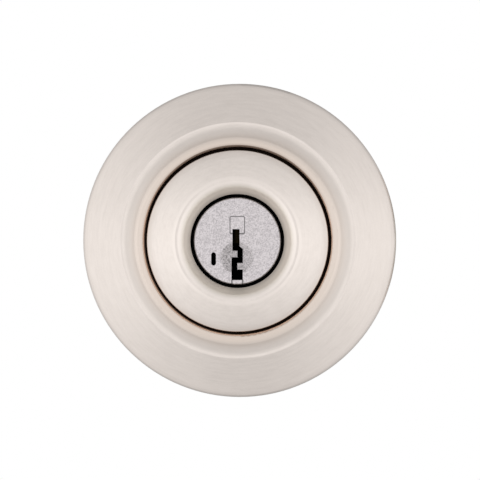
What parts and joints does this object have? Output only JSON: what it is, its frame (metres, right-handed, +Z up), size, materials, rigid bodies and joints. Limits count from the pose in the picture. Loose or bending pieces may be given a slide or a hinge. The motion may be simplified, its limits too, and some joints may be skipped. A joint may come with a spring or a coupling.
{
  "type": "deadbolt door lock",
  "caption": "Single-cylinder deadbolt with a round tapered rose, free-spinning collar, keyed plug, inner thumbturn and a bolt driven by a cam with a curved track.",
  "frame": {"origin": "on the cylinder's axis, in the plane of the door's outer face", "axes": "+Y into the door from the outside, +Z up, +X towards the bolt and the door's edge"},
  "size_m": [0.0921, 0.0928, 0.0636],
  "materials": {
    "satin_nickel": "satin nickel plate, fine circular brushing",
    "plug_face": "satin plate over a fine cast grain",
    "insert_steel": "satin",
    "zinc_casting": "as cast",
    "spring_steel": "oiled",
    "brass": "turned",
    "plated_steel": "zinc plate",
    "hardened_steel": "ground",
    "nylon": "moulded"
  },
  "bodies": {
    "lockset": {"exterior_rose": "satin_nickel", "rose_retaining_ring": "spring_steel", "cylinder_housing": "zinc_casting", "bolt_case": "plated_steel", "faceplate": "satin_nickel", "interior_rose": "satin_nickel", "interior_plate": "plated_steel", "thumbturn_washer": "nylon", "mounting_screws": "plated_steel"},
    "collar": {"spin_collar": "satin_nickel"},
    "plug": {"plug": "plug_face", "upper_face_insert": "insert_steel", "lower_face_insert": "insert_steel", "plug_clip": "spring_steel", "tumbler_cover": "brass", "tumbler_spring_1": "spring_steel", "tumbler_spring_2": "spring_steel", "tumbler_spring_3": "spring_steel", "tumbler_spring_4": "spring_steel", "tumbler_spring_5": "spring_steel"},
    "sidebar": {"sidebar": "insert_steel"},
    "turn_train": {"thumbturn": "satin_nickel", "thumbturn_clip": "spring_steel", "torque_blade": "plated_steel", "bolt_cam": "plated_steel"},
    "bolt": {"bolt": "satin_nickel", "bolt_roller_pin": "hardened_steel", "bolt_tail": "plated_steel", "bolt_rivet": "hardened_steel", "drive_pin": "hardened_steel"},
    "tumbler_1": {"tumbler_pin_1": "brass", "tumbler_wafer_1": "brass"},
    "tumbler_2": {"tumbler_pin_2": "brass", "tumbler_wafer_2": "brass"},
    "tumbler_3": {"tumbler_pin_3": "brass", "tumbler_wafer_3": "brass"},
    "tumbler_4": {"tumbler_pin_4": "brass", "tumbler_wafer_4": "brass"},
    "tumbler_5": {"tumbler_pin_5": "brass", "tumbler_wafer_5": "brass"}
  },
  "joints": [
    {"name": "collar_spin", "type": "hinge", "parent": "lockset", "child": "collar", "pos_m": [0, 0, 0], "axis": [0, 1, 0], "continuous": true},
    {"name": "thumbturn_turn", "type": "hinge", "parent": "lockset", "child": "turn_train", "pos_m": [0, 0, 0], "axis": [0, 1, 0], "range_deg": [0, 90]},
    {"name": "key_turn", "type": "hinge", "parent": "lockset", "child": "plug", "pos_m": [0, 0, 0], "axis": [0, 1, 0], "range_deg": [0, 90]},
    {"name": "bolt_throw", "type": "slide", "parent": "lockset", "child": "bolt", "axis": [1, 0, 0], "range_m": [0, 0.0254]},
    {"name": "sidebar_slide", "type": "slide", "parent": "plug", "child": "sidebar", "axis": [-1, 0, 0], "range_m": [0, 0.0008]},
    {"name": "tumbler_lift_1", "type": "slide", "parent": "plug", "child": "tumbler_1", "axis": [0, 0, 1], "range_m": [0, 0.0025], "stiffness_N_per_m": 120, "springref_m": -0.004, "deforming": ["tumbler_spring_1"]},
    {"name": "tumbler_lift_2", "type": "slide", "parent": "plug", "child": "tumbler_2", "axis": [0, 0, 1], "range_m": [0, 0.0025], "stiffness_N_per_m": 120, "springref_m": -0.004, "deforming": ["tumbler_spring_2"]},
    {"name": "tumbler_lift_3", "type": "slide", "parent": "plug", "child": "tumbler_3", "axis": [0, 0, 1], "range_m": [0, 0.0025], "stiffness_N_per_m": 120, "springref_m": -0.004, "deforming": ["tumbler_spring_3"]},
    {"name": "tumbler_lift_4", "type": "slide", "parent": "plug", "child": "tumbler_4", "axis": [0, 0, 1], "range_m": [0, 0.0025], "stiffness_N_per_m": 120, "springref_m": -0.004, "deforming": ["tumbler_spring_4"]},
    {"name": "tumbler_lift_5", "type": "slide", "parent": "plug", "child": "tumbler_5", "axis": [0, 0, 1], "range_m": [0, 0.0025], "stiffness_N_per_m": 120, "springref_m": -0.004, "deforming": ["tumbler_spring_5"]}
  ],
  "couplings": [
    {"joint": "key_turn", "follows": "thumbturn_turn", "ratio": 1},
    {"joint": "bolt_throw", "follows": "thumbturn_turn", "m_per_rad": 0.01617}
  ]
}
